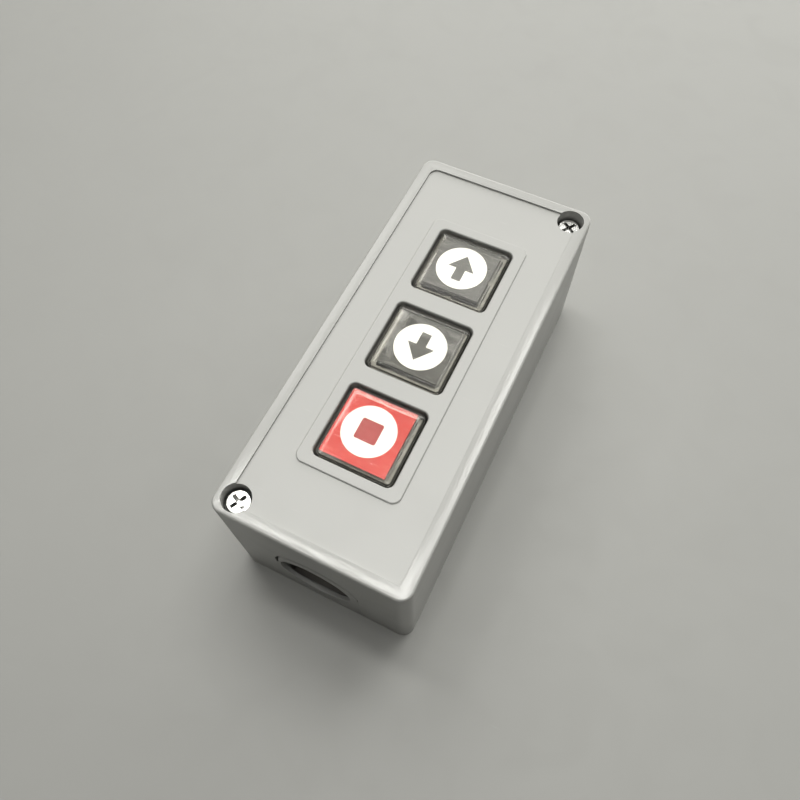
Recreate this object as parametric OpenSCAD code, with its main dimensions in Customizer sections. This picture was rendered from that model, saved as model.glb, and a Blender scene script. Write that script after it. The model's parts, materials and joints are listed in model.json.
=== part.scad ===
// Pushbutton control station with three square buttons in one upright column.
// Millimetres. Origin at the middle of the underside, +Z towards the buttons,
// +Y towards the forward button, cable entry at the -Y end.

/* [Enclosure] */
// Width of the cover
body_w = 66; // [66:1:70]
// Length of the cover
body_l = 153; // [153:1:160]
// Height from the mounting face to the rim
body_h = 57; // [56:0.5:60]
// Radius of the upright corners
corner_r = 4.2; // [4:0.1:5]
// Wall thickness of the cover
wall = 2.6; // [2.2:0.1:3]
// Width of the raised rim round the front panel
rim_w = 4.1; // [3.6:0.1:4.6]
// Depth of the front panel below the rim
panel_drop = 0.8; // [0.6:0.1:1.2]

/* [Buttons] */
// Distance between button centres
pitch = 34.4; // [34:0.1:35]
// Side of the square opening for a button
opening_w = 27.7; // [27.4:0.1:28.2]
// Side of the clear button cap
cap_w = 26.2; // [25.6:0.1:26.6]
// Travel of a button
travel = 4.8; // [4:0.1:4.8]

/* [Cable entry] */
// Radius of the cable entry hole
entry_r = 12.9; // [12:0.1:13]
// Height of the cable entry above the mounting face
entry_z = 21.5; // [21:0.25:22]
// Thickness of the wall round the cable entry
entry_t = 1.4; // [1.2:0.1:2]

/* [Mounting] */
// Distance across between the mounting holes
mount_x = 44; // [40:1:44]
// Distance along between the mounting holes
mount_y = 124; // [122:1:124]
// Diameter of a mounting hole
mount_d = 4.8; // [4.5:0.1:5.2]

/* [Hidden] */
$fn = 64;
eps = 0.01;
cut = 1;

// Colours as the photograph shows them
housing_grey = [0.76, 0.77, 0.75];
phenolic_brown = [0.16, 0.11, 0.08];
moulded_black = [0.09, 0.09, 0.09];
moulded_grey = [0.42, 0.41, 0.38];
smoky_clear = [0.55, 0.54, 0.50, 0.45];
label_dark = [0.28, 0.28, 0.28];
label_red = [0.86, 0.16, 0.12];
bright_zinc = [0.80, 0.80, 0.78];
brass = [0.80, 0.66, 0.36];
spring_steel = [0.62, 0.62, 0.62];

// Places of the buttons along the cover
forward_y = pitch;
reverse_y = 0;
stop_y = -pitch;
button_ys = [forward_y, reverse_y, stop_y];
powered_ys = [forward_y, reverse_y];

// Cover
rim_round = 0.7;
inner_w = body_w - 2 * wall;
inner_l = body_l - 2 * wall;
inner_r = corner_r - wall;
panel_z = body_h - panel_drop;
panel_t = 2.5;
ceiling_z = panel_z - panel_t;
pad_w = 35.6;
pad_l = 104;
pad_r = 3;
pad_h = 0.6;
pad_bevel = 0.3;
rim_inner_r = 3;
opening_r = 2.4;
opening_bevel = 0.3;
collar_t = 1.6;
collar_z = 46.5;
screw_x = body_w / 2 - 6.65;
screw_y = body_l / 2 - 6.15;
screw_places = [[-screw_x, -screw_y], [screw_x, screw_y]];
screw_turns = [-27, -35];
column_r = 4.8;
column_head_r = 6;
column_head_z = body_h - 8.6;
head_pocket_r = 4.7;
head_pocket_z = body_h - 6.2;
arch_r = 15.2;
arch_z = 25.6;

// Screws; the shape of a head is given as shares of its radius or height
m4_r = 1.98;
m4_hole_r = 2.0;
m4_clear_r = 2.3;
m3_r = 1.48;
m3_hole_r = 1.5;
head_round = 0.2;
cross_reach = 0.7;
cross_w = 0.3;
cross_deep = 0.7;

// Base
plate_t = 3;
base_gap = 0.25;
plate_w = inner_w - 2 * base_gap;
plate_l = inner_l - 2 * base_gap;
plate_r = inner_r - base_gap;
skirt_inner_r = 0.5;
skirt_t = 1.6;
skirt_z = 8;
post_r = 3.0;
post_gap = 0.3;
post_z = 10.6;
tongue_r = 14.9;
tongue_side = arch_r - 0.05;
tongue_z = 23.7;
tongue_bevel = 0.6;
entry_x = -1.1;
recess_r = 13.8;
flange_r = 17.6;
flange_t = 1.8;
flange_back = -plate_l / 2 + flange_t;
seat_z = 6;
underside_drop = 0.8;
earth_x = 12;
earth_y = -60;

// Contact block
block_w = 50;
block_l = 108;
block_r = 1.5;
block_top = 30;
ear_w = 12;
ear_reach = 8;
ear_z = 10;
ear_y = block_l / 2 + ear_reach / 2;
well_w = 12.8;
well_l = 28.8;
well_z = 7.5;
pole_pitch = 9.6;
pole_offsets = [-pole_pitch, 0, pole_pitch];
slot_l = 7.4;
chamber_x = 16.2;
bay_x = 17.8;
strip_t = 1.2;
strip_l = 6.4;
strip_bottom = 14.8;
strip_top = strip_bottom + strip_t;
strip_inner_x = 9;
strip_outer_x = 24.6;
rivet_r = 2;
rivet_h = 1;
rivet_x = 12;
terminal_x = 21.2;
terminal_r = 1.75;
terminal_hole_r = 1.78;
stop_well_near = stop_y - 5.5;
stop_well_far = -20.3;

// Guide plate
guide_w = 34;
guide_top = 35;
channel_w = 20.8;
channel_z = 32;
channel_near = -48;
channel_far = 50;
spring_seat_z = 34;
spring_seat_r = 8.2;
guide_screw_x = 12.6;
guide_screw_y = 51.4;

// Plungers
neck_r = 5;
guide_fit = 0.08;
neck_top = 50;
stem_w = 12;
stem_l = 28;
stem_z = 13;
stem_top = 29.6;
groove_r = 4;
groove_h = 2;
contact_gap = travel + 0.1;
bridge_z = strip_top + rivet_h + contact_gap + rivet_h;
bridge_t = 1.2;
bridge_x = 14.5;
bridge_l = 6;
window_l = 7;
window_top = 28.5;
stop_stem_l = 9;
nose_z = 28.5;
nose_reach = 8.5;

// Latch plate
latch_w = 20;
latch_t = 1.2;
latch_z = 30.3;
latch_near = -44;
latch_far = 43.6;
latch_throw = travel / 2;
latch_edge = 5.15;
tab_w = 8;
tab_drop = 7.8;
tab_slope = 0.5;
tab_gap = 0.12;

// Button heads
flange_z = 46;
head_flange_t = 1.6;
carrier_w = 23.8;
carrier_top = 54.1;
carrier_t = 1.5;
hub_r = 7;
label_w = 21.3;
label_t = 0.8;
// The labels lie loose in their caps, each a little off centre
forward_label_at = [-0.7, 1.1];
reverse_label_at = [0.1, 0.7];
stop_label_at = [-1.1, 0.7];
cap_bottom = flange_z + head_flange_t;
cap_ceiling = carrier_top + label_t + 0.1;
cap_top = body_h;
cap_r = 2;
cap_bevel_x = 1.9;
cap_bevel_z = 1.1;
cap_pocket_w = 24.2;

// Springs
return_coil_r = 7;
return_wire_r = 0.55;
return_turns = 4.5;
contact_coil_r = 1.9;
contact_wire_r = 0.3;
contact_turns = 3.5;
latch_coil_r = 1.0;
latch_coil_wire_r = 0.2;

// Flat and solid shapes that repeat

// Rectangle with true round corners, centred
module round_rect(w, l, r) {
    square([w - 2 * r, l], center = true);
    square([w, l - 2 * r], center = true);
    for (sx = [-1, 1], sy = [-1, 1])
        translate([sx * (w / 2 - r), sy * (l / 2 - r)])
            circle(r);
}

// Upright slab with round corners from z0 to z1
module slab(w, l, r, z0, z1) {
    translate([0, 0, z0])
        linear_extrude(z1 - z0)
            round_rect(w, l, r);
}

// Plain box given by its limits
module span(x0, x1, y0, y1, z0, z1) {
    translate([x0, y0, z0])
        cube([x1 - x0, y1 - y0, z1 - z0]);
}

// Upright round bar from z0 to z1
module bar(r, z0, z1) {
    translate([0, 0, z0])
        cylinder(r = r, h = z1 - z0);
}

// Half outline of a wall whose upper edge is rounded, for sweeping
module rounded_edge(reach, h, e) {
    square([reach, h - e]);
    square([reach - e, h]);
    translate([reach - e, h - e])
        intersection() {
            circle(e);
            square(e);
        }
}

// Slab with round upright corners and a rounded upper edge
module rounded_slab(w, l, h, r, e) {
    for (sx = [-1, 1], sy = [-1, 1])
        translate([sx * (w / 2 - r), sy * (l / 2 - r), 0])
            rotate_extrude()
                rounded_edge(r, h, e);
    for (s = [0, 1]) {
        across = s == 0 ? w : l;
        along = s == 0 ? l : w;
        rotate([0, 0, 90 * s])
            rotate([90, 0, 0])
                linear_extrude(along - 2 * r, center = true) {
                    rounded_edge(across / 2, h, e);
                    mirror([1, 0])
                        rounded_edge(across / 2, h, e);
                }
    }
}

// Slab with round upright corners and a bevelled upper edge, from z0 to z1
module bevelled_slab(w, l, r, z0, z1, bx, bz) {
    h = z1 - z0;
    translate([0, 0, z0]) {
        for (sx = [-1, 1], sy = [-1, 1])
            translate([sx * (w / 2 - r), sy * (l / 2 - r), 0]) {
                cylinder(r = r, h = h - bz);
                translate([0, 0, h - bz])
                    cylinder(r1 = r, r2 = r - bx, h = bz);
            }
        for (s = [0, 1]) {
            half = (s == 0 ? w : l) / 2;
            along = s == 0 ? l : w;
            rotate([0, 0, 90 * s])
                rotate([90, 0, 0])
                    linear_extrude(along - 2 * r, center = true)
                        polygon([
                            [-half, 0], [half, 0], [half, h - bz],
                            [half - bx, h], [bx - half, h], [-half, h - bz]
                        ]);
        }
    }
}

// Cross recess of a screw, cut down from height z, its arms shorter at the bottom
module cross_recess(z, reach, arm_w, deep) {
    foot = reach * 0.4;
    for (a = [0, 90])
        rotate([90, 0, a])
            translate([0, z, 0])
                linear_extrude(arm_w, center = true)
                    polygon([
                        [-reach, cut], [-reach, 0], [-foot, -deep],
                        [foot, -deep], [reach, 0], [reach, cut]
                    ]);
}

// Pan head screw: head with a rounded edge from z_seat up, shank down to z_tip
module pan_screw(shank_r, head_r, head_h, z_seat, z_tip) {
    difference() {
        union() {
            bar(shank_r, z_tip, z_seat + eps);
            translate([0, 0, z_seat])
                rotate_extrude()
                    rounded_edge(head_r, head_h, head_h * head_round);
        }
        cross_recess(z_seat + head_h, head_r * cross_reach, head_r * cross_w,
            head_h * cross_deep);
    }
}

// One point on a coil, t turns up from the start
function coil_point(coil_r, wire_r, height, turns, t, a) =
    let (lift = wire_r + (height - 2 * wire_r) * min(1, max(0, t / turns)))
    [
        (coil_r + wire_r * cos(a)) * cos(360 * t),
        (coil_r + wire_r * cos(a)) * sin(360 * t),
        lift + wire_r * sin(a)
    ];

// Helical spring standing on z = 0
module coil_spring(coil_r, wire_r, height, turns, sides, steps) {
    rings = ceil(turns * steps);
    points = [
        for (i = [0 : rings], k = [0 : sides - 1])
            coil_point(coil_r, wire_r, height, turns, turns * i / rings, 360 * k / sides)
    ];
    sweep = [
        for (i = [0 : rings - 1], k = [0 : sides - 1])
            let (n = (k + 1) % sides)
            [i * sides + k, i * sides + n, (i + 1) * sides + n, (i + 1) * sides + k]
    ];
    first = [for (k = [sides - 1 : -1 : 0]) k];
    last = [for (k = [0 : sides - 1]) rings * sides + k];
    polyhedron(points, concat(sweep, [first, last]));
}

// Upright arch seen from -Y: round top about height z, straight sides below it,
// between the depths y0 and y1
module arch_solid(r, side, z, y0, y1) {
    translate([0, y1, 0])
        rotate([90, 0, 0])
            linear_extrude(y1 - y0) {
                translate([0, z])
                    circle(r);
                translate([-side, 0])
                    square([2 * side, z]);
            }
}

// Round bar along Y through the middle of the cable entry
module entry_bar(r, y0, y1) {
    translate([entry_x, y1, entry_z])
        rotate([90, 0, 0])
            cylinder(r = r, h = y1 - y0);
}

// Cover: shell, rim, pad round the buttons, collars and screw columns

module cover_shell() {
    difference() {
        rounded_slab(body_w, body_l, body_h, corner_r, rim_round);
        slab(inner_w, inner_l, inner_r, -cut, ceiling_z);
        slab(body_w - 2 * rim_w, body_l - 2 * rim_w, rim_inner_r, panel_z, body_h + cut);
    }
    bevelled_slab(pad_w, pad_l, pad_r, panel_z - cut, panel_z + pad_h, pad_bevel, pad_bevel);
}

module button_collars() {
    outer = opening_w + 2 * collar_t;
    for (y = button_ys)
        translate([0, y, 0])
            slab(outer, outer, opening_r + collar_t, collar_z, ceiling_z + cut);
}

module screw_columns() {
    for (p = screw_places)
        translate(p) {
            bar(column_r, plate_t, ceiling_z + cut);
            bar(column_head_r, column_head_z, ceiling_z + cut);
        }
}

// Square opening of a button with a bevelled upper edge
module button_opening() {
    edge_w = opening_w + 2 * opening_bevel;
    slab(opening_w, opening_w, opening_r, collar_z - cut, body_h + cut);
    translate([0, 0, panel_z + pad_h + cut])
        mirror([0, 0, 1])
            bevelled_slab(edge_w, edge_w, opening_r + opening_bevel,
                0, cut + opening_bevel, opening_bevel, opening_bevel);
}

module cover() {
    color(housing_grey)
        difference() {
            union() {
                cover_shell();
                button_collars();
                screw_columns();
            }
            for (y = button_ys)
                translate([0, y, 0])
                    button_opening();
            for (p = screw_places)
                translate(p) {
                    bar(m4_clear_r, 0, body_h);
                    bar(head_pocket_r, head_pocket_z, body_h + cut);
                    bar(post_r + post_gap, 0, post_z + post_gap);
                }
            arch_solid(arch_r, arch_r, arch_z, -body_l, -inner_l / 2 + cut);
            span(-arch_r, arch_r, -body_l, -inner_l / 2 + cut, -cut, eps);
        }
}

module cover_screws() {
    color(bright_zinc)
        for (i = [0, 1])
            translate(screw_places[i])
                rotate([0, 0, screw_turns[i]])
                    pan_screw(m4_r, 4.0, 2.6, head_pocket_z, 5.8);
}

// Base: plate, skirt, posts, block seats, mounting pads and the entry tongue

module base_tongue() {
    front = -body_l / 2;
    arch_solid(tongue_r, tongue_side, tongue_z, front + tongue_bevel, -plate_l / 2 + cut);
    span(-tongue_side, tongue_side, front, front + cut, 0, tongue_z);
    translate([0, front + tongue_bevel, tongue_z])
        rotate([90, 0, 0])
            cylinder(r1 = tongue_r, r2 = tongue_r - tongue_bevel, h = tongue_bevel);
    arch_solid(flange_r, flange_r, tongue_z, -plate_l / 2, flange_back);
}

// Cable entry: round hole in a thin wall, with a hollow behind it to the inside
module cable_entry() {
    wall_back = -body_l / 2 + entry_t;
    entry_bar(entry_r, -body_l, wall_back + eps);
    entry_bar(entry_r + 0.3, wall_back, flange_back + cut);
    intersection() {
        arch_solid(recess_r, recess_r, tongue_z, wall_back, flange_back + cut);
        span(-recess_r, recess_r, -body_l / 2, 0, plate_t, body_h);
    }
}

module base_plate() {
    slab(plate_w, plate_l, plate_r, 0, plate_t);
    difference() {
        slab(plate_w, plate_l, plate_r, plate_t - eps, skirt_z);
        slab(plate_w - 2 * skirt_t, plate_l - 2 * skirt_t, skirt_inner_r, 0, skirt_z + cut);
        for (p = screw_places)
            translate(p)
                bar(column_r + 0.4, plate_t, skirt_z + cut);
    }
}

module base_bosses() {
    for (p = screw_places)
        translate(p)
            bar(post_r, plate_t - eps, post_z);
    for (sx = [-1, 1], sy = [-1, 1])
        translate([sx * mount_x / 2, sy * mount_y / 2, 0])
            bar(4.2, 0, plate_t + 1.5);
    for (sy = [-1, 1])
        span(-ear_w / 2, ear_w / 2, sy * ear_y - 4, sy * ear_y + 4, 0, seat_z);
    for (sx = [-1, 1], y = [-40, 0, 40])
        span(sx * 21 - 3, sx * 21 + 3, y - 5, y + 5, 0, seat_z);
    translate([earth_x, earth_y, 0])
        bar(4.5, 0, skirt_z);
}

module base_underside() {
    difference() {
        slab(plate_w - 10, plate_l - 10, 3, -cut, underside_drop);
        for (sx = [-1, 1], sy = [-1, 1])
            translate([sx * mount_x / 2, sy * mount_y / 2, 0])
                bar(6.5, -cut, plate_t);
    }
}

module base() {
    color(housing_grey)
        difference() {
            union() {
                base_plate();
                base_bosses();
                base_tongue();
            }
            base_underside();
            cable_entry();
            for (sx = [-1, 1], sy = [-1, 1])
                translate([sx * mount_x / 2, sy * mount_y / 2, 0])
                    bar(mount_d / 2, -cut, plate_t + 2 + cut);
            for (p = screw_places)
                translate(p)
                    bar(m4_hole_r, 1.6, post_z + cut);
            for (sy = [-1, 1])
                translate([0, sy * ear_y, 0])
                    bar(m4_hole_r, 1.6, seat_z + cut);
            translate([earth_x, earth_y, 0])
                bar(m4_hole_r, 1.6, skirt_z + cut);
        }
}

// Contact block: moulding with plunger wells, pole chambers and terminal bays

module pole_cuts(y) {
    half = slot_l / 2;
    for (s = [-1, 1]) {
        inner = min(s * (well_w / 2 - cut), s * chamber_x);
        span(inner, inner + chamber_x - well_w / 2 + cut, y - half, y + half,
            strip_bottom, block_top + cut);
        bay = s > 0 ? bay_x : -block_w / 2 - cut;
        span(bay, bay + block_w / 2 - bay_x + cut, y - half, y + half,
            strip_bottom, block_top + cut);
        gate = s > 0 ? chamber_x - cut : -bay_x - cut;
        span(gate, gate + bay_x - chamber_x + 2 * cut, y - half, y + half,
            strip_bottom, strip_top + 0.1);
        translate([s * terminal_x, y, 0])
            bar(terminal_hole_r, 9, strip_top);
    }
}

module contact_block() {
    color(phenolic_brown)
        difference() {
            union() {
                slab(block_w, block_l, block_r, seat_z, block_top);
                for (sy = [-1, 1])
                    span(-ear_w / 2, ear_w / 2, sy * ear_y - ear_reach / 2 - (sy > 0 ? cut : 0),
                        sy * ear_y + ear_reach / 2 + (sy < 0 ? cut : 0), seat_z, ear_z);
            }
            for (y = powered_ys) {
                span(-well_w / 2, well_w / 2, y - well_l / 2, y + well_l / 2,
                    well_z, block_top + cut);
                for (d = pole_offsets)
                    pole_cuts(y + d);
            }
            span(-well_w / 2, well_w / 2, stop_well_near, stop_well_far,
                well_z, block_top + cut);
            for (sy = [-1, 1])
                translate([0, sy * ear_y, 0])
                    bar(m4_clear_r, 0, block_top);
            for (sx = [-1, 1], sy = [-1, 1])
                translate([sx * guide_screw_x, sy * guide_screw_y, 0])
                    bar(m3_hole_r, 20, block_top + cut);
        }
}

module block_screws() {
    color(bright_zinc)
        for (sy = [-1, 1])
            translate([0, sy * ear_y, 0])
                pan_screw(m4_r, 3.8, 2.4, ear_z, 2.4);
}

// Guide plate: covers the wells, guides the plunger necks, holds the springs

module guide_plate() {
    color(phenolic_brown)
        difference() {
            slab(guide_w, block_l, block_r, block_top, guide_top);
            span(-channel_w / 2, channel_w / 2, channel_near, channel_far,
                block_top - cut, channel_z);
            for (y = button_ys)
                translate([0, y, 0]) {
                    bar(neck_r + guide_fit, block_top, guide_top);
                    bar(spring_seat_r, spring_seat_z, guide_top + cut);
                }
            for (sx = [-1, 1], sy = [-1, 1])
                translate([sx * guide_screw_x, sy * guide_screw_y, 0])
                    bar(m3_hole_r + 0.1, block_top - cut, guide_top + cut);
        }
}

module guide_plate_screws() {
    color(bright_zinc)
        for (sx = [-1, 1], sy = [-1, 1])
            translate([sx * guide_screw_x, sy * guide_screw_y, 0])
                pan_screw(m3_r, 2.4, 1.8, guide_top, 21);
}

// Latch plate: slides under the guide plate, catches the powered plungers

module latch_slot(y, edge) {
    back = neck_r + latch_throw + 0.5 - edge;
    translate([0, y, 0])
        bar(edge, latch_z - cut, latch_z + latch_t + cut);
    translate([0, y - back, 0])
        bar(edge, latch_z - cut, latch_z + latch_t + cut);
    span(-edge, edge, y - back, y, latch_z - cut, latch_z + latch_t + cut);
}

module latch_tab() {
    nose_y = stop_y + nose_reach;
    root_y = nose_y + tab_gap + tab_slope * (latch_z - nose_z);
    thick = latch_t / cos(atan(tab_slope));
    translate([-tab_w / 2, 0, 0])
        rotate([90, 0, 90])
            linear_extrude(tab_w)
                polygon([
                    [root_y - tab_slope * tab_drop, latch_z - tab_drop],
                    [root_y - tab_slope * tab_drop + thick, latch_z - tab_drop],
                    [root_y + thick, latch_z],
                    [root_y + thick + tab_slope * latch_t, latch_z + latch_t],
                    [root_y + tab_slope * latch_t, latch_z + latch_t],
                    [root_y, latch_z]
                ]);
}

module latch_plate() {
    tab_y = stop_y + nose_reach + tab_slope * (latch_z - nose_z) + 1.5 * latch_t;
    color(spring_steel) {
        difference() {
            translate([0, (latch_near + latch_far) / 2, 0])
                slab(latch_w, latch_far - latch_near, 2, latch_z, latch_z + latch_t);
            for (y = powered_ys)
                latch_slot(y, latch_edge);
            latch_slot(stop_y, neck_r + 0.4);
            span(-tab_w / 2 - 0.4, tab_w / 2 + 0.4, tab_y, tab_y + 8.4,
                latch_z - cut, latch_z + latch_t + cut);
        }
        latch_tab();
    }
}

module latch_spring() {
    color(spring_steel)
        for (sx = [-1, 1])
            translate([sx * 6, latch_far + eps, latch_z + latch_t / 2])
                rotate([-90, 0, 0])
                    coil_spring(latch_coil_r - latch_coil_wire_r, latch_coil_wire_r,
                        channel_far - latch_far - 2 * eps, 7, 6, 10);
}

// Fixed contacts and their terminals

module fixed_contact() {
    span(strip_inner_x, strip_outer_x, -strip_l / 2, strip_l / 2, strip_bottom, strip_top);
    translate([rivet_x, 0, 0])
        bar(rivet_r, strip_top - eps, strip_top + rivet_h);
}

module fixed_contacts() {
    color(brass)
        for (y = powered_ys, d = pole_offsets, s = [0, 1])
            translate([0, y + d, 0])
                mirror([s, 0, 0])
                    difference() {
                        fixed_contact();
                        translate([terminal_x, 0, 0])
                            bar(terminal_hole_r, strip_bottom - cut, strip_top + cut);
                    }
}

module terminal_screws() {
    color(bright_zinc)
        for (y = powered_ys, d = pole_offsets, sx = [-1, 1])
            translate([sx * terminal_x, y + d, 0])
                pan_screw(terminal_r, 3.2, 2.3, strip_top, 9.6);
}

module earth_terminal() {
    color(brass)
        translate([earth_x, earth_y, 0])
            difference() {
                slab(9, 9, 1, skirt_z, skirt_z + 1.2);
                bar(m4_r + 0.1, skirt_z - cut, skirt_z + 2);
            }
}

module earth_screw() {
    color(bright_zinc)
        translate([earth_x, earth_y, 0])
            pan_screw(m4_r, 3.8, 2.4, skirt_z + 1.2, 2.4);
}

// Plungers: the powered ones carry three contact bridges, the stop one a nose

module neck(grooved) {
    groove_z = latch_z + travel - 0.2;
    difference() {
        bar(neck_r, stem_top - cut, neck_top);
        if (grooved)
            difference() {
                bar(neck_r + cut, groove_z, groove_z + groove_h);
                bar(groove_r, groove_z - cut, groove_z + groove_h + cut);
            }
    }
}

module powered_plunger() {
    color(moulded_black) {
        difference() {
            span(-stem_w / 2, stem_w / 2, -stem_l / 2, stem_l / 2, stem_z, stem_top);
            for (d = pole_offsets)
                span(-stem_w, stem_w, d - window_l / 2, d + window_l / 2,
                    bridge_z - eps, window_top);
        }
        neck(true);
    }
}

module stop_plunger() {
    color(moulded_black) {
        span(-stem_w / 2, stem_w / 2, -stop_stem_l / 2, stop_stem_l / 2, stem_z, stem_top);
        span(-tab_w / 2, tab_w / 2, 0, nose_reach, nose_z, stem_top);
        neck(false);
    }
}

module bridges() {
    color(brass)
        for (d = pole_offsets)
            translate([0, d, 0]) {
                span(-bridge_x, bridge_x, -bridge_l / 2, bridge_l / 2,
                    bridge_z, bridge_z + bridge_t);
                for (sx = [-1, 1])
                    translate([sx * rivet_x, 0, 0])
                        bar(rivet_r, bridge_z - rivet_h, bridge_z + eps);
            }
}

module contact_springs() {
    spring_h = window_top - bridge_z - bridge_t;
    color(spring_steel)
        for (d = pole_offsets)
            translate([0, d, bridge_z + bridge_t])
                coil_spring(contact_coil_r, contact_wire_r, spring_h, contact_turns, 6, 10);
}

// Button heads: carrier on the neck, label on the carrier, clear cap over both

module carrier() {
    color(moulded_grey)
        difference() {
            union() {
                slab(cap_w, cap_w, cap_r, flange_z, cap_bottom);
                slab(carrier_w, carrier_w, 0.8, flange_z, carrier_top);
            }
            difference() {
                slab(carrier_w - 2 * carrier_t, carrier_w - 2 * carrier_t, 0.4,
                    flange_z + 2, carrier_top + cut);
                bar(hub_r, flange_z, neck_top + carrier_t);
                for (a = [0, 90])
                    rotate([0, 0, a])
                        span(-carrier_w / 2, carrier_w / 2, -0.7, 0.7, flange_z, carrier_top);
            }
            bar(neck_r + 0.02, flange_z - cut, neck_top);
        }
}

module label_plate(tint, place) {
    color(tint)
        translate(place)
            slab(label_w, label_w, 0.5, carrier_top, carrier_top + label_t);
}

module cap() {
    color(smoky_clear)
        difference() {
            bevelled_slab(cap_w, cap_w, cap_r, cap_bottom, cap_top, cap_bevel_x, cap_bevel_z);
            slab(cap_pocket_w, cap_pocket_w, 0.8, cap_bottom - cut, cap_ceiling);
        }
}

module return_spring() {
    color(spring_steel)
        translate([0, 0, spring_seat_z])
            coil_spring(return_coil_r, return_wire_r, flange_z - spring_seat_z,
                return_turns, 8, 16);
}

module at_button(y) {
    translate([0, y, 0])
        children();
}

cover();
cover_screws();
base();
contact_block();
block_screws();
guide_plate();
guide_plate_screws();
latch_plate();
latch_spring();
fixed_contacts();
terminal_screws();
earth_terminal();
earth_screw();
at_button(forward_y) powered_plunger();  // plunger_forward
at_button(forward_y) carrier();  // carrier_forward
at_button(forward_y) label_plate(label_dark, forward_label_at);  // label_forward
at_button(forward_y) cap();  // cap_forward
at_button(forward_y) return_spring();  // return_spring_forward
at_button(forward_y) bridges();  // bridges_forward
at_button(forward_y) contact_springs();  // contact_springs_forward
at_button(reverse_y) powered_plunger();  // plunger_reverse
at_button(reverse_y) carrier();  // carrier_reverse
at_button(reverse_y) label_plate(label_dark, reverse_label_at);  // label_reverse
at_button(reverse_y) cap();  // cap_reverse
at_button(reverse_y) return_spring();  // return_spring_reverse
at_button(reverse_y) bridges();  // bridges_reverse
at_button(reverse_y) contact_springs();  // contact_springs_reverse
at_button(stop_y) stop_plunger();  // plunger_stop
at_button(stop_y) carrier();  // carrier_stop
at_button(stop_y) label_plate(label_red, stop_label_at);  // label_stop
at_button(stop_y) cap();  // cap_stop
at_button(stop_y) return_spring();  // return_spring_stop
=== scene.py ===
# %% [markdown]
# # A three-button control station, dressed
#
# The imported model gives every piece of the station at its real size: a grey
# moulded box, three clear square caps over label plates, two cover screws and
# the switch mechanism inside. This lesson gives each of them its finish, adds
# the printed discs on the labels, and lights the station as it lies on a table.
# All lengths are in metres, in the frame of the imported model.

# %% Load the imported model
import json
import math

import bmesh
import bpy
from mathutils import Matrix, Vector

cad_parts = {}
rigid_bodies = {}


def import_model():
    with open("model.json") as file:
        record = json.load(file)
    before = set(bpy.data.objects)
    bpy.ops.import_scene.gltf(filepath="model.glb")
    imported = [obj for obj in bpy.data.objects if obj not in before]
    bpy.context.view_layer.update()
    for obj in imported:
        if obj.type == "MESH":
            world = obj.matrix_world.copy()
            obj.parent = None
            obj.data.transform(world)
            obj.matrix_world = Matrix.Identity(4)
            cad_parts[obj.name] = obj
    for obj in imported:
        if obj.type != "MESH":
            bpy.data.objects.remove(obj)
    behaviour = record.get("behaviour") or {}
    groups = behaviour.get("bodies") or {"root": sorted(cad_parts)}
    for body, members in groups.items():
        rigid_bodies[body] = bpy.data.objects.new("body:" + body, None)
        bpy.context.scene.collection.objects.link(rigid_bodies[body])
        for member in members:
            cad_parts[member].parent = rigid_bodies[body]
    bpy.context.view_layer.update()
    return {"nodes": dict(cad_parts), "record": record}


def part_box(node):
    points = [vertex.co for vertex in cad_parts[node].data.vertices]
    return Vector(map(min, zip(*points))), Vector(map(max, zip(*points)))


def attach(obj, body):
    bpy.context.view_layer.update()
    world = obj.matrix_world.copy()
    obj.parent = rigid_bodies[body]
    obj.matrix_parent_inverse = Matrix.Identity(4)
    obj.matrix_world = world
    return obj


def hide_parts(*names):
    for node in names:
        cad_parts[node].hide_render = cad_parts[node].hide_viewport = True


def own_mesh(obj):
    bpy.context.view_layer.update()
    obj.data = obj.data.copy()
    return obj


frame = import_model()
nodes = frame["nodes"]
record = frame["record"]
MM = 0.001

# %% [markdown]
# ## Where the camera stands
#
# The straight edges of the box, seen in perspective, fix the camera: it looks
# down at the near right corner from about a quarter of a metre above the table.
# A camera needs a place, a point to look at, a roll about its own axis, and a
# lens. Writing it as those four is easier to read than a matrix, and each can
# be nudged on its own.

# %% Camera
scene = bpy.context.scene
SENSOR = 36.0
LENS = 32.47
EYE = Vector((51.56, -110.45, 259.14)) * MM
LOOK_AT = Vector((3.06, -20.34, 57.0)) * MM
ROLL = math.radians(-2.3)
CLIP_START = 10 * MM


def aimed(place, target):
    """A matrix that stands at place and looks at target along its own -Z."""
    turn = (Vector(target) - Vector(place)).to_track_quat("-Z", "Y")
    return Matrix.Translation(place) @ turn.to_matrix().to_4x4()


def add_camera(eye, look_at, roll, lens):
    """A camera at eye that looks at look_at, turned by roll about its axis."""
    data = bpy.data.cameras.new("camera")
    data.lens = lens
    data.sensor_width = SENSOR
    data.clip_start = CLIP_START
    camera = bpy.data.objects.new("camera", data)
    scene.collection.objects.link(camera)
    camera.matrix_world = aimed(eye, look_at) @ Matrix.Rotation(roll, 4, "Z")
    scene.camera = camera
    return camera


camera = add_camera(EYE, LOOK_AT, ROLL, LENS)
print("camera right:", [round(v, 4) for v in camera.matrix_world.col[0][:3]])

# %% [markdown]
# ## Light
#
# A product photograph of a shiny object is mostly a matter of what it mirrors.
# Here the caps mirror the ceiling behind and to the left of the station, so only
# one dim panel hangs in that lane, and the labels stay readable. Two soft panels
# in a row, a little to the right of the lane, light the top. A narrow lamp on
# the near side of the lane draws the bright line along the near rim. Dimmer
# panels to the left and right soften the shade. A broad one stands behind the
# station and stays low, so that it isn't mirrored in the heads of the screws.
# All are area lights, because their size sets how soft a shadow is. Their
# strength is stated as radiance, the brightness that a mirror would show, and
# the power follows from the area.

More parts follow.
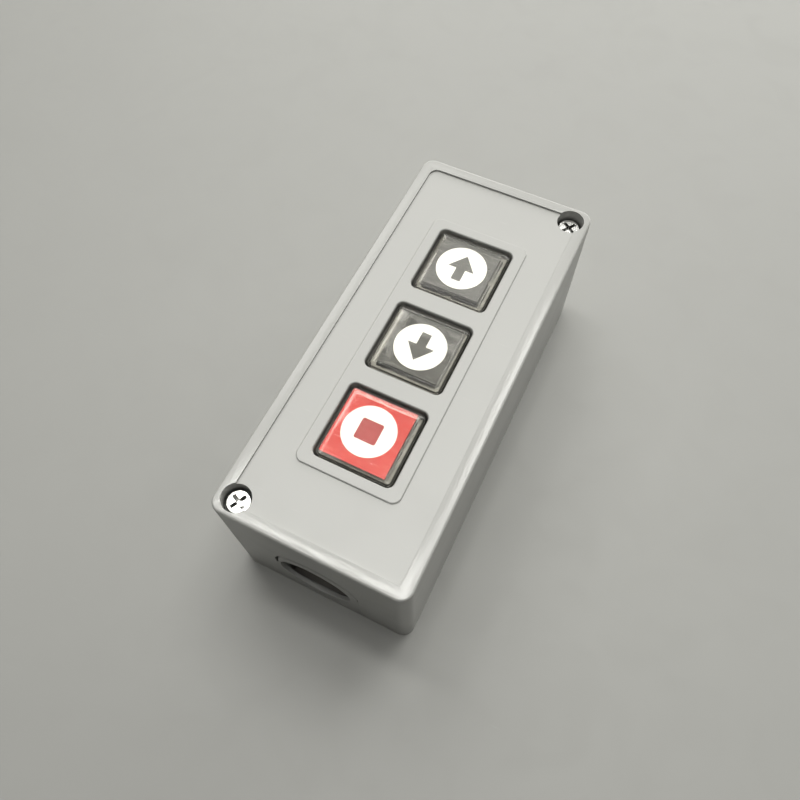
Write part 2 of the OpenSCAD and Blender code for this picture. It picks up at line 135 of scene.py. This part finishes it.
# %% Lights
WARM_WHITE = (1.0, 0.995, 0.96)
CEILING = 1.3
LIGHTS = {
    # name: (centre, point that it faces, width, length, radiance)
    "overhead_near": ((0.125, 0.0, CEILING), (0.125, 0.0, 0), 0.55, 0.8, 4.4),
    "overhead_far": ((0.12, 0.66, CEILING), (0.12, 0.66, 0), 0.5, 0.52, 8.0),
    "rim_lamp": ((-0.24, 0.10, 1.05), (-0.24, 0.10, 0), 0.4, 0.10, 16.0),
    "left_panel": ((-0.8, 0.0, CEILING), (-0.8, 0.0, 0), 0.8, 0.8, 0.9),
    "far_left_panel": ((-0.8, 0.8, CEILING), (-0.8, 0.8, 0), 0.8, 0.8, 3.5),
    "right_panel": ((0.8, 0.0, CEILING), (0.8, 0.0, 0), 0.8, 0.8, 0.8),
    "near_left_panel": ((-0.3, -0.55, CEILING), (-0.3, -0.55, 0), 0.3, 0.3, 1.0),
    "lane_panel": ((-0.3, 1.0, CEILING), (-0.3, 1.0, 0), 0.3, 0.6, 1.2),
    "back_panel": ((0.0, 1.2, 0.45), (0, 0, 0.45), 2.4, 0.9, 2.6),
}


def add_area_light(name, place, target, width, length, radiance):
    """A rectangular light at place that shines towards target."""
    data = bpy.data.lights.new(name, "AREA")
    data.shape = "RECTANGLE"
    data.size, data.size_y = width, length
    data.energy = math.pi * width * length * radiance
    data.color = WARM_WHITE
    light = bpy.data.objects.new(name, data)
    scene.collection.objects.link(light)
    light.matrix_world = aimed(place, target)
    return light


for name, settings in LIGHTS.items():
    light = add_area_light(name, *settings)
    print(name, round(light.data.energy, 1), "W")
scene.view_settings.view_transform = "Standard"

# %% [markdown]
# ## Helpers for materials
#
# A procedural material is a small network of nodes. `put` adds one node and
# fills its sockets in the same line: a plain value is typed in, and the output
# of another node is wired in. `new_group` opens a group with named sockets, for
# an effect that several materials share. The others wrap the nodes that are
# used most: one for a sum, one for a mix of two colours and two that stretch a
# value from one range to another.

# %% Helpers for node trees
def put(tree, kind, sockets=None, **settings):
    """Adds a shader node, sets its options, then fills or wires its sockets."""
    node = tree.nodes.new(kind if kind.startswith("NodeGroup") else "ShaderNode" + kind)
    for name, value in settings.items():
        setattr(node, name, value)
    for name, value in (sockets or {}).items():
        if isinstance(value, bpy.types.NodeSocket):
            tree.links.new(value, node.inputs[name])
        else:
            node.inputs[name].default_value = value
    return node


def new_group(name, inputs, outputs):
    """A shader group: inputs are {name: (kind, default)}, outputs {name: kind}."""
    group = bpy.data.node_groups.new(name, "ShaderNodeTree")
    for label, (kind, default) in inputs.items():
        socket = group.interface.new_socket(
            label, in_out="INPUT", socket_type="NodeSocket" + kind
        )
        if default is not None:
            socket.default_value = default
    for label, kind in outputs.items():
        group.interface.new_socket(
            label, in_out="OUTPUT", socket_type="NodeSocket" + kind
        )
    return group, put(group, "NodeGroupInput").outputs


def math_node(tree, operation, first, second=0.0, clamp=False):
    """The output of a Math node."""
    node = put(tree, "Math", {0: first, 1: second}, operation=operation, use_clamp=clamp)
    return node.outputs[0]


def blend(tree, share, first, second):
    """The output of a Mix node for two colours."""
    node = put(tree, "Mix", {"Factor": share}, data_type="RGBA")
    for socket, value in ((node.inputs[6], first), (node.inputs[7], second)):
        if isinstance(value, bpy.types.NodeSocket):
            tree.links.new(value, socket)
        else:
            socket.default_value = (*value, 1)
    return node.outputs[2]


def spread_from(tree, value, start, end, low=0.0, high=1.0):
    """Maps a value from start..end to low..high, and no further."""
    node = put(tree, "MapRange", {
        "Value": value, "From Min": start, "From Max": end,
        "To Min": low, "To Max": high})
    return node.outputs["Result"]


def spread(tree, value, low, high):
    """Maps a value from 0..1 to low..high."""
    return spread_from(tree, value, 0.0, 1.0, low, high)


print("helpers ready")

# %% [markdown]
# ## Backdrop
#
# From low angles the camera looks past the far edge of the table. A pale
# backdrop hangs there. Only rays straight from the camera see it, so it adds
# nothing to the light on the station.

# %% Backdrop
BACKDROP = (0.34, 0.34, 0.325)


def add_backdrop(colour):
    """A plain world that only the camera sees."""
    scene.world = bpy.data.worlds.new("backdrop")
    scene.world.use_nodes = True
    tree = scene.world.node_tree
    tree.nodes.clear()
    plain = put(tree, "Background", {
        "Color": (*colour, 1), "Strength": put(tree, "LightPath").outputs["Is Camera Ray"]})
    put(tree, "OutputWorld", {"Surface": plain.outputs["Background"]})


add_backdrop(BACKDROP)
print("backdrop:", BACKDROP)

# %% [markdown]
# ## Moulded grain
#
# Plastic takes the skin of its mould: a fine matt grain, and under it a very
# shallow unevenness from the way the melt flowed and shrank. It could be carved
# into the mesh, but at a fraction of a millimetre a height for the Bump node
# does the same. The group gives that height, and a slow change of tone.

# %% Group: moulded_grain
UNEVEN_SCALE = 180.0
TONE_SCALE = 22.0


def make_moulded_grain():
    """Height of fine grain over slow unevenness, and a slow change of tone."""
    group, given = new_group(
        "moulded_grain",
        {"Vector": ("Vector", None), "Grain Scale": ("Float", 3000.0),
         "Grain Depth": ("Float", 0.5)},
        {"Height": "Float", "Tone": "Float"},
    )
    fine = put(group, "TexNoise", {
        "Vector": given["Vector"], "Scale": given["Grain Scale"],
        "Detail": 3.0, "Roughness": 0.6})
    slow = put(group, "TexNoise", {
        "Vector": given["Vector"], "Scale": UNEVEN_SCALE, "Detail": 2.0})
    tone = put(group, "TexNoise", {
        "Vector": given["Vector"], "Scale": TONE_SCALE, "Detail": 4.0})
    grain = math_node(group, "MULTIPLY", fine.outputs["Fac"], given["Grain Depth"])
    height = math_node(group, "ADD", grain, slow.outputs["Fac"])
    put(group, "NodeGroupOutput", {"Height": height, "Tone": tone.outputs["Fac"]})
    return group


moulded_grain = make_moulded_grain()
print("group:", moulded_grain.name)

# %% [markdown]
# ## Marks of handling
#
# A box that has been picked up carries faint smears where fingers touched it:
# they hardly change the colour, only how sharply the surface shines. A second
# output gives hairline scratches, as noise that is stretched until only thin
# streaks pass the threshold, crossed in two directions.

# %% Group: handling_marks
SMEAR_SCALE = 45.0
SMEAR_EDGE = (0.45, 0.72)
STREAK_TURNS = (0.5, -0.9)
STREAK_STRETCH = (1.0, 26.0, 8.0)
STREAK_CONTRAST = 12.0


def make_handling_marks():
    """Masks of finger smears and of hairline scratches."""
    group, given = new_group(
        "handling_marks",
        {"Vector": ("Vector", None), "Scratch Scale": ("Float", 90.0),
         "Scratch Cut": ("Float", 0.66)},
        {"Smear": "Float", "Scratch": "Float"},
    )
    patch = put(group, "TexNoise", {
        "Vector": given["Vector"], "Scale": SMEAR_SCALE, "Detail": 5.0, "Distortion": 1.2})
    smear = spread_from(group, patch.outputs["Fac"], *SMEAR_EDGE)
    streaks = []
    for turn in STREAK_TURNS:
        stretched = put(group, "Mapping", {
            "Vector": given["Vector"], "Rotation": (0.15, 0.1, turn),
            "Scale": STREAK_STRETCH})
        noise = put(group, "TexNoise", {
            "Vector": stretched.outputs["Vector"], "Scale": given["Scratch Scale"],
            "Detail": 1.0})
        over = math_node(group, "SUBTRACT", noise.outputs["Fac"], given["Scratch Cut"])
        streaks.append(math_node(group, "MULTIPLY", over, STREAK_CONTRAST, clamp=True))
    scratch = math_node(group, "MAXIMUM", streaks[0], streaks[1])
    put(group, "NodeGroupOutput", {"Smear": smear, "Scratch": scratch})
    return group


handling_marks = make_handling_marks()
print("group:", handling_marks.name)

# %% [markdown]
# ## Softened edges
#
# No moulded or stamped edge is a razor: a tenth of a millimetre of radius
# catches a thin line of light. The Bevel node looks round each edge while the
# picture is made and bends the normal there, so the mesh keeps its exact size.
# How far that normal leans from the true one also tells where the edges are,
# and there the surface is a little paler and smoother from rubbing.

# %% Group: softened_edges
EDGE_LEAN = (0.99, 0.75)


def make_softened_edges():
    """A normal that is rounded at edges, and a mask of those edges."""
    group, given = new_group(
        "softened_edges",
        {"Radius": ("Float", 0.15 * MM)},
        {"Normal": "Vector", "Edge": "Float"},
    )
    bevel = put(group, "Bevel", {"Radius": given["Radius"]}, samples=6)
    true = put(group, "NewGeometry")
    lean = put(group, "VectorMath", {
        0: bevel.outputs["Normal"], 1: true.outputs["Normal"]}, operation="DOT_PRODUCT")
    edge = spread_from(group, lean.outputs["Value"], *EDGE_LEAN)
    put(group, "NodeGroupOutput", {"Normal": bevel.outputs["Normal"], "Edge": edge})
    return group


softened_edges = make_softened_edges()
print("group:", softened_edges.name)

# %% [markdown]
# ## Painted shade in the gaps
#
# Narrow gaps and deep corners get little light, so a darker colour is painted
# there as painted shade. The Ambient Occlusion node
# measures how much of the view from a point is still open within a short reach.
# The painted shade starts where that share falls below Open and is full at Closed.

# %% Group: painted shade in the gaps
def make_gap_shade():
    """A mask of closely walled-in places, where shade is painted."""
    group, given = new_group(
        "gap_shade", {"Reach": ("Float", 4.0 * MM), "Open": ("Float", 0.5),
                     "Closed": ("Float", 0.2)}, {"Painted_Shade": "Float"})
    view = put(group, "AmbientOcclusion", {"Distance": given["Reach"]}, samples=6)
    # painted shade: the share of open view sets how dark a gap is painted
    painted_shade = spread_from(group, view.outputs["AO"], given["Open"], given["Closed"])
    put(group, "NodeGroupOutput", {"Painted_Shade": painted_shade})
    return group


gap_shade = make_gap_shade()
print("group:", gap_shade.name)

# %% [markdown]
# ## One recipe for solid finishes
#
# Most finishes here differ only in a few numbers: two close colours that the
# slow tone runs between, a third for rubbed edges, how rough the surface is,
# how deep its grain goes, and whether it is metal. One function wires the three
# groups to a Principled BSDF, and each finish is a short call with its own
# values. The things that make a finish special are added after the call.

# %% Helper: a finish from the groups
BUMP_DISTANCE = 0.02 * MM
materials = {}


def new_material(name):
    """An empty material, its node tree and a socket with object coordinates."""
    material = bpy.data.materials.new(name)
    material.use_nodes = True
    tree = material.node_tree
    tree.nodes.clear()
    place = put(tree, "TexCoord").outputs["Object"]
    materials[name] = material
    return material, tree, place


def solid_finish(name, colours, edge_colour, roughness, metallic=0.0,
                 grain_scale=3000.0, grain_depth=0.5, bump=0.25,
                 scratch_scale=90.0, scratch_cut=0.66, edge_radius=0.15 * MM):
    """A Principled finish with grain, smears, scratches and softened edges."""
    material, tree, place = new_material(name)
    grain = put(tree, "Group", {
        "Vector": place, "Grain Scale": grain_scale, "Grain Depth": grain_depth},
        node_tree=moulded_grain).outputs
    marks = put(tree, "Group", {
        "Vector": place, "Scratch Scale": scratch_scale, "Scratch Cut": scratch_cut},
        node_tree=handling_marks).outputs
    edges = put(tree, "Group", {"Radius": edge_radius}, node_tree=softened_edges).outputs
    body = blend(tree, grain["Tone"], colours[0], colours[1])
    rubbed = math_node(tree, "MAXIMUM", edges["Edge"], marks["Scratch"])
    colour = blend(tree, math_node(tree, "MULTIPLY", rubbed, 0.5), body, edge_colour)
    smear = spread(tree, marks["Smear"], roughness[0], roughness[1])
    rough = math_node(tree, "ADD", smear, math_node(
        tree, "MULTIPLY", grain["Tone"], roughness[1] - roughness[0]))
    relief = math_node(tree, "SUBTRACT", grain["Height"], marks["Scratch"])
    bumped = put(tree, "Bump", {
        "Strength": bump, "Distance": BUMP_DISTANCE, "Height": relief,
        "Normal": edges["Normal"]})
    shader = put(tree, "BsdfPrincipled", {
        "Base Color": colour, "Roughness": rough, "Metallic": metallic,
        "Normal": bumped.outputs["Normal"]})
    put(tree, "OutputMaterial", {"Surface": shader.outputs["BSDF"]})
    return material


print("recipe ready")

# %% [markdown]
# ## Plastics
#
# The cover and base are moulded in a light grey ABS with a satin skin. The
# contact block and its guide plate are a dark brown phenolic, which has a tight
# glossy skin and slightly mottled colour. The plungers are black nylon, which is
# duller, with a coarser grain, and the carriers under the caps are the same
# nylon in an olive grey.

# %% Housing, phenolic and nylon
solid_finish("housing", ((0.425, 0.425, 0.408), (0.445, 0.445, 0.428)),
             (0.50, 0.50, 0.48), (0.34, 0.42), grain_scale=2600.0, bump=0.22,
             scratch_cut=0.74)
solid_finish("phenolic", ((0.060, 0.036, 0.024), (0.030, 0.018, 0.013)),
             (0.14, 0.095, 0.07), (0.26, 0.36), grain_scale=1800.0, bump=0.3)
solid_finish("black_moulding", ((0.016, 0.016, 0.017), (0.024, 0.024, 0.024)),
             (0.07, 0.07, 0.07), (0.40, 0.52), grain_scale=2200.0, grain_depth=1.2,
             bump=0.4)
solid_finish("grey_moulding", ((0.13, 0.128, 0.115), (0.155, 0.15, 0.132)),
             (0.34, 0.34, 0.31), (0.30, 0.42), grain_scale=2200.0, grain_depth=0.8,
             bump=0.3)
print("plastics:", sorted(materials))

# %% [markdown]
# ## The crowned rim
#
# The raised rim round the front is not quite flat: it is a shallow crown, and
# fingers have polished it and rubbed fine strokes along it. That is why it shows
# a bright, slightly broken streak along its middle where the panel beside it
# stays even. The group finds the rim from the place in the moulding, and gives
# the crown as a height and the rim as a mask. In the same way it finds the
# inside of the box, where a darker colour is painted as painted shade.

# %% Group: crowned_rim
RIM = 4.1 * MM
RIM_STEP = 0.1 * MM
STROKES_ACROSS = 1300.0
STROKES_ALONG = 170.0
WALL = 2.6 * MM
INSIDE_DEPTH = 12 * MM
FLOOR_SKIN = 1.0 * MM


def make_crowned_rim(width, length, low, floor):
    """Crown of the rim above low, and masks of the rim and of the inside above floor."""
    group, given = new_group(
        "crowned_rim", {"Vector": ("Vector", None), "Crown": ("Float", 0.12 * MM),
                        "Ripple": ("Float", 0.45)},
        {"Height": "Float", "Rim": "Float", "Inside": "Float"},
    )
    place = put(group, "SeparateXYZ", {0: given["Vector"]}).outputs
    insets = []
    for axis, size in (("X", width), ("Y", length)):
        out = math_node(group, "ABSOLUTE", place[axis])
        insets.append(math_node(group, "SUBTRACT", size / 2, out))
    inset = math_node(group, "MINIMUM", insets[0], insets[1])
    across = spread_from(group, inset, 0.0, RIM, -1.0, 1.0)
    dome = math_node(group, "SUBTRACT", 1.0, math_node(group, "MULTIPLY", across, across))
    along = math_node(group, "ADD", place["X"], place["Y"])
    drawn = put(group, "CombineXYZ", {
        "X": math_node(group, "MULTIPLY", inset, STROKES_ACROSS),
        "Y": math_node(group, "MULTIPLY", along, STROKES_ALONG)}).outputs["Vector"]
    ripple = put(group, "TexNoise", {
        "Vector": drawn, "Scale": 1.0, "Detail": 2.0}).outputs["Fac"]
    dome = math_node(group, "ADD", dome, math_node(group, "MULTIPLY", ripple, given["Ripple"]))
    high = math_node(group, "GREATER_THAN", place["Z"], low)
    on_rim = math_node(group, "MULTIPLY", high, math_node(group, "LESS_THAN", inset, RIM))
    height = math_node(group, "MULTIPLY", given["Crown"], math_node(
        group, "MULTIPLY", dome, on_rim))
    within = math_node(group, "MULTIPLY", math_node(
        group, "LESS_THAN", place["Z"], low - INSIDE_DEPTH), math_node(
        group, "GREATER_THAN", place["Z"], floor))
    inside = math_node(group, "MULTIPLY", within, math_node(
        group, "GREATER_THAN", inset, WALL))
    put(group, "NodeGroupOutput", {"Height": height, "Rim": on_rim, "Inside": inside})
    return group


low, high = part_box("cover")
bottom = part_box("base")[0].z
crowned_rim = make_crowned_rim(
    high.x - low.x, high.y - low.y, high.z - RIM_STEP, bottom + FLOOR_SKIN)
print("rim:", RIM)

# %% Polish the rim and paint shade on the inside of the housing
RIM_ROUGHNESS = 0.18
# painted shade: the darker colour painted on the inside of the box
INSIDE_SHADE = (0.20, 0.185, 0.165)


def finish_housing(material):
    """Adds the crowned, polished rim and painted shade on the inside to a solid finish."""
    tree = material.node_tree
    shader = tree.nodes["Principled BSDF"]
    place = tree.nodes["Texture Coordinate"].outputs["Object"]
    crown = put(tree, "Group", {"Vector": place}, node_tree=crowned_rim).outputs
    crowned = put(tree, "Bump", {
        "Strength": 1.0, "Distance": 1.0, "Height": crown["Height"],
        "Normal": tree.nodes["Bump"].outputs["Normal"]})
    tree.links.new(crowned.outputs["Normal"], shader.inputs["Normal"])
    rough = put(tree, "Mix", {
        "Factor": crown["Rim"], "A": shader.inputs["Roughness"].links[0].from_socket,
        "B": RIM_ROUGHNESS}, data_type="FLOAT")
    tree.links.new(rough.outputs["Result"], shader.inputs["Roughness"])
    plain = shader.inputs["Base Color"].links[0].from_socket
    # painted shade on the inside of the box
    shaded_inside = blend(tree, crown["Inside"], plain, INSIDE_SHADE)
    tree.links.new(shaded_inside, shader.inputs["Base Color"])


finish_housing(materials["housing"])
print("rim roughness:", RIM_ROUGHNESS)

# %% [markdown]
# ## Metals
#
# The screws are steel with bright zinc plating, which has a faint blue and
# straw cast. The springs and the latch plate are plain spring steel, darker and
# smoother. The contacts are stamped brass that has begun to dull. All three
# show fine lines from drawing or stamping, so their scratches are denser.

# %% Zinc, spring steel and brass
solid_finish("zinc_steel", ((0.74, 0.76, 0.79), (0.80, 0.78, 0.72)),
             (0.88, 0.88, 0.88), (0.16, 0.26), metallic=1.0, grain_scale=1500.0,
             bump=0.2, scratch_scale=260.0, scratch_cut=0.60, edge_radius=0.12 * MM)
solid_finish("spring_steel", ((0.44, 0.43, 0.42), (0.54, 0.53, 0.51)),
             (0.66, 0.66, 0.66), (0.18, 0.30), metallic=1.0, grain_scale=1500.0,
             bump=0.2, scratch_scale=300.0, scratch_cut=0.60, edge_radius=0.08 * MM)
solid_finish("contact_brass", ((0.78, 0.56, 0.25), (0.62, 0.42, 0.19)),
             (0.88, 0.70, 0.42), (0.20, 0.34), metallic=1.0, grain_scale=1400.0,
             bump=0.25, scratch_scale=260.0, scratch_cut=0.60, edge_radius=0.10 * MM)
print("metals:", sorted(materials))

# %% [markdown]
# ## Where shade is painted
#
# Two finishes get painted shade: the housing, in the gaps round the caps
# and in its grooves, and the screws, in the recesses of their heads. A screw's
# recess is small and shallow, so the painted shade there looks less far and starts at a
# more open place than in the housing.

# %% Painted shade in the gaps of the housing and in the recesses of the screws
# painted shade in the gaps of the housing
GAP_SHADE = (0.07, 0.069, 0.065)
# painted shade in the recesses of the screw heads
RECESS_SHADE = (0.07, 0.068, 0.065)


def add_painted_shade(material, reach, opened, closed, colour):
    """Paints shade on a solid finish from where the share opened is in view, fully at closed.
    """
    tree = material.node_tree
    colour_in = tree.nodes["Principled BSDF"].inputs["Base Color"]
    # painted shade mixed into the colour where the view is closed in
    painted_shade = put(tree, "Group", {
        "Reach": reach, "Open": opened, "Closed": closed}, node_tree=gap_shade)
    plain = colour_in.links[0].from_socket
    tree.links.new(blend(tree, painted_shade.outputs["Painted_Shade"], plain, colour), colour_in)


# painted shade in the gaps round the caps and in the grooves
add_painted_shade(materials["housing"], 4.0 * MM, 0.38, 0.12, GAP_SHADE)
# painted shade in the screw recesses
add_painted_shade(materials["zinc_steel"], 1.8 * MM, 0.8, 0.3, RECESS_SHADE)
print("dust:", GAP_SHADE, RECESS_SHADE)

# %% [markdown]
# ## Label plates and print
#
# Under each clear cap lies a thin plate: dark grey for the two that run the
# motor, red for stop. A white disc is printed on it and a sign on the disc. Ink
# lies almost flat and has a slight gloss, with a grain much finer than that of
# the mouldings.

# %% Label plates and inks
solid_finish("label_dark", ((0.040, 0.040, 0.040), (0.055, 0.054, 0.052)),
             (0.42, 0.42, 0.40), (0.26, 0.36), grain_scale=5200.0, bump=0.1,
             edge_radius=0.3 * MM)
solid_finish("label_red", ((0.48, 0.014, 0.008), (0.54, 0.020, 0.012)),
             (0.62, 0.16, 0.12), (0.26, 0.36), grain_scale=5200.0, bump=0.1)
solid_finish("disc_white", ((0.82, 0.82, 0.80), (0.86, 0.86, 0.84)),
             (0.90, 0.90, 0.89), (0.30, 0.40), grain_scale=5200.0, bump=0.08)
solid_finish("sign_dark", ((0.050, 0.050, 0.048), (0.065, 0.065, 0.063)),
             (0.12, 0.12, 0.12), (0.30, 0.40), grain_scale=5200.0, bump=0.08)
solid_finish("sign_red", ((0.30, 0.020, 0.022), (0.36, 0.028, 0.030)),
             (0.50, 0.10, 0.10), (0.30, 0.40), grain_scale=5200.0, bump=0.08)
print("prints:", sorted(materials))

# %% [markdown]
# ## Clear caps
#
# The caps are moulded in clear, slightly smoky acrylic. A Principled BSDF with
# full transmission bends and reflects light as acrylic does. Cycles would treat
# the light that falls through it onto the label as a caustic and lose most of
# it, so for shadow rays alone the surface is a plain tinted Transparent BSDF.
# Age has clouded the acrylic a little, so one or two parts in a hundred of the
# light are scattered instead of let through. Thick clear mouldings sink as they
# cool, so the top is gently wavy and throws uneven patches of light over the
# label. Fine scuffs from fingertips roughen it here and there.

# %% Clear cap
CAP_TINT = (0.86, 0.85, 0.81)
CAP_SHADOW_TINT = (0.92, 0.915, 0.895)
CAP_CLEARNESS = 0.985
CAP_IOR = 1.49
CAP_SINK = 0.25 * MM
CAP_SINK_SCALE = 70.0
CAP_DARKER = 0.96
CAP_ROUGHNESS = (0.04, 0.16)


def clear_cap_finish():
    """Smoky acrylic that lets the light reach the label under it."""
    material, tree, place = new_material("clear_cap")
    grain = put(tree, "Group", {
        "Vector": place, "Grain Scale": 900.0, "Grain Depth": 0.1},
        node_tree=moulded_grain).outputs
    marks = put(tree, "Group", {
        "Vector": place, "Scratch Scale": 150.0, "Scratch Cut": 0.68},
        node_tree=handling_marks).outputs
    edges = put(tree, "Group", {"Radius": 0.2 * MM}, node_tree=softened_edges).outputs
    darker = [CAP_DARKER * part for part in CAP_TINT]
    tint = blend(tree, grain["Tone"], CAP_TINT, darker)
    wear = math_node(tree, "MAXIMUM", marks["Scratch"], math_node(
        tree, "MULTIPLY", marks["Smear"], 0.5))
    sink = put(tree, "TexNoise", {"Vector": place, "Scale": CAP_SINK_SCALE, "Detail": 1.0})
    sunk = put(tree, "Bump", {
        "Strength": 1.0, "Distance": CAP_SINK, "Height": sink.outputs["Fac"],
        "Normal": edges["Normal"]})
    relief = math_node(tree, "SUBTRACT", grain["Height"], marks["Scratch"])
    bumped = put(tree, "Bump", {
        "Strength": 0.25, "Distance": BUMP_DISTANCE, "Height": relief,
        "Normal": sunk.outputs["Normal"]})
    clear = put(tree, "BsdfPrincipled", {
        "Base Color": tint, "Roughness": spread(tree, wear, *CAP_ROUGHNESS),
        "IOR": CAP_IOR, "Transmission Weight": CAP_CLEARNESS,
        "Normal": bumped.outputs["Normal"]})
    through = put(tree, "BsdfTransparent", {"Color": (*CAP_SHADOW_TINT, 1)})
    either = put(tree, "MixShader", {
        0: put(tree, "LightPath").outputs["Is Shadow Ray"],
        1: clear.outputs["BSDF"], 2: through.outputs["BSDF"]})
    put(tree, "OutputMaterial", {"Surface": either.outputs["Shader"]})
    return material


clear_cap_finish()
print("cap tint:", CAP_TINT)

# %% [markdown]
# ## Every piece gets its finish
#
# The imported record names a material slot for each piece, and the finishes above
# carry the same names. So one loop dresses the whole model, and a piece that
# has no finish would stop it.

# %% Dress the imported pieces
for row in record["subparts"]:
    mesh = nodes[row["node"]].data
    mesh.materials.clear()
    mesh.materials.append(materials[row["material_slot"]])
print("dressed:", len(record["subparts"]), "pieces")

# %% [markdown]
# ## Copies of the springs
#
# A helical spring gets shorter as its button goes down, and the imported pieces
# are rigid. Here a copy of each spring takes its place on the body that carries it,
# and the imported spring is hidden; the copy is not squeezed. The imported record says which
# springs these are, which end is fixed and how far the joint goes, and from that the share of
# its length that a spring would keep is worked out.

# %% Copy the springs
def add_coil(spring, joint):
    """A copy of a packed spring on the joint's parent body; the share of its length it would
    keep.
    """
    name = spring["node"]
    axis = "xyz".index(spring["mode"][-1])
    low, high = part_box(name)
    coil = bpy.data.objects.new(name.replace("spring", "coil"), nodes[name].data.copy())
    scene.collection.objects.link(coil)
    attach(coil, joint["parent"])
    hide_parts(name)
    anchor = (low + high) / 2
    anchor[axis] = spring["fixed_end_z_m"]
    kept = 1 - joint["range_m"][1] / (high[axis] - low[axis])
    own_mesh(coil)
    return kept


for joint in record["behaviour"]["joints"]:
    for spring in joint["deforming_nodes"]:
        kept = add_coil(spring, joint)
        print(spring["node"], "keeps", round(kept, 3), "of its length")

# %% [markdown]
# ## Discs and signs on the labels
#
# Each print is a film, a few hundredths of a millimetre thick. It could be a
# pattern in the label's material, but a film of its own has a crisp edge at any
# distance and casts the hint of a shadow. An outline is walked once, filled and
# raised. The signs are plain ones: an arrow each way and a square for stop.

# %% Helper: a printed film
FILM = 0.03 * MM


def film(name, outline, centre, low, body, finish):
    """A thin film with an outline round centre, from the height low upwards."""
    shape = bmesh.new()
    rim = [shape.verts.new((centre[0] + x, centre[1] + y, low)) for x, y in outline]
    flat = shape.faces.new(rim)
    raised = bmesh.ops.extrude_face_region(shape, geom=[flat])["geom"]
    top = [part for part in raised if isinstance(part, bmesh.types.BMVert)]
    bmesh.ops.translate(shape, verts=top, vec=(0, 0, FILM))
    bmesh.ops.recalc_face_normals(shape, faces=shape.faces)
    mesh = bpy.data.meshes.new(name)
    shape.to_mesh(mesh)
    shape.free()
    mesh.materials.append(materials[finish])
    piece = bpy.data.objects.new(name, mesh)
    scene.collection.objects.link(piece)
    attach(piece, body)
    return piece


def circle_outline(radius, steps=96):
    """Points round a circle."""
    angles = [2 * math.pi * step / steps for step in range(steps)]
    return [(radius * math.cos(a), radius * math.sin(a)) for a in angles]


print("film thickness:", FILM)

# %% Outlines of the signs
ARROW_LENGTH = 11.0 * MM
ARROW_HEAD = 6.0 * MM
ARROW_WIDTH = 9.6 * MM
ARROW_SHAFT = 3.4 * MM
STOP_SIDE = 7.4 * MM
STOP_CORNER = 0.6 * MM


def arrow_outline(way):
    """An arrow that points along +Y for way 1 and along -Y for way -1."""
    tip, back = ARROW_LENGTH / 2, -ARROW_LENGTH / 2
    neck = tip - ARROW_HEAD
    half, shaft = ARROW_WIDTH / 2, ARROW_SHAFT / 2
    right = [(0, tip), (half, neck), (shaft, neck), (shaft, back)]
    left = [(-x, y) for x, y in reversed(right[1:])]
    return [(x, way * y) for x, y in right + left]


def square_outline(side, corner, steps=6):
    """A square with rounded corners."""
    points = []
    for quarter in range(4):
        middle = math.radians(45 + 90 * quarter)
        reach = (side / 2 - corner) * math.sqrt(2)
        cx, cy = reach * math.cos(middle), reach * math.sin(middle)
        for step in range(steps + 1):
            angle = math.radians(90 * quarter + 90 * step / steps)
            points.append((cx + corner * math.cos(angle), cy + corner * math.sin(angle)))
    return points


print("arrow:", ARROW_LENGTH, "square:", STOP_SIDE)

# %% [markdown]
# ## The red insert
#
# The stop label carries a loose red sheet that is a little larger than its
# plate, so its red reaches nearly to the wall of the cap on three sides.

# %% Red insert of the stop button
INSERT_WIDTH = 22.3 * MM
INSERT_LENGTH = 23.0 * MM
INSERT_SHIFT = Vector((0.25, -0.17, 0)) * MM


def rectangle_outline(width, length):
    """A rectangle round the origin."""
    x, y = width / 2, length / 2
    return [(-x, -y), (x, -y), (x, y), (-x, y)]


low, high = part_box("label_stop")
film("insert_stop", rectangle_outline(INSERT_WIDTH, INSERT_LENGTH),
     (low + high) / 2 + INSERT_SHIFT, high.z, "stop_button", "label_red")
print("insert:", INSERT_WIDTH, "x", INSERT_LENGTH)

# %% Print the three labels
DISC_RADIUS = 8.87 * MM
LABELS = {
    "forward": (arrow_outline(1), "sign_dark", "label_dark"),
    "reverse": (arrow_outline(-1), "sign_dark", "label_dark"),
    "stop": (square_outline(STOP_SIDE, STOP_CORNER), "sign_red", "label_red"),
}
for button, (sign, ink, slot) in LABELS.items():
    low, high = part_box("label_" + button)
    centre = (low + high) / 2
    body = button + "_button"
    base = high.z + (FILM if button == "stop" else 0)
    film("disc_" + button, circle_outline(DISC_RADIUS), centre, base, body,
         "disc_white")
    film("sign_" + button, sign, centre, base + FILM, body, ink)
    print(button, "label centre:", [round(v / MM, 2) for v in centre])

# %% [markdown]
# ## Table
#
# The station lies on a plain matt table. Fine mottling and a few slow changes
# of tone keep it from looking like a flat colour.

# %% Table
TABLE_SIZE = 3.0
solid_finish("table_matt", ((0.325, 0.325, 0.310), (0.345, 0.345, 0.330)),
             (0.40, 0.40, 0.39), (0.55, 0.65), grain_scale=1400.0, bump=0.15,
             scratch_cut=0.80)


def add_table():
    """A large flat table top at height zero."""
    mesh = bpy.data.meshes.new("table")
    half = TABLE_SIZE / 2
    corners = [(-half, -half, 0), (half, -half, 0), (half, half, 0), (-half, half, 0)]
    mesh.from_pydata(corners, [], [(0, 1, 2, 3)])
    mesh.materials.append(materials["table_matt"])
    table = bpy.data.objects.new("table", mesh)
    scene.collection.objects.link(table)
    return table


table = add_table()
print("table:", TABLE_SIZE, "m")
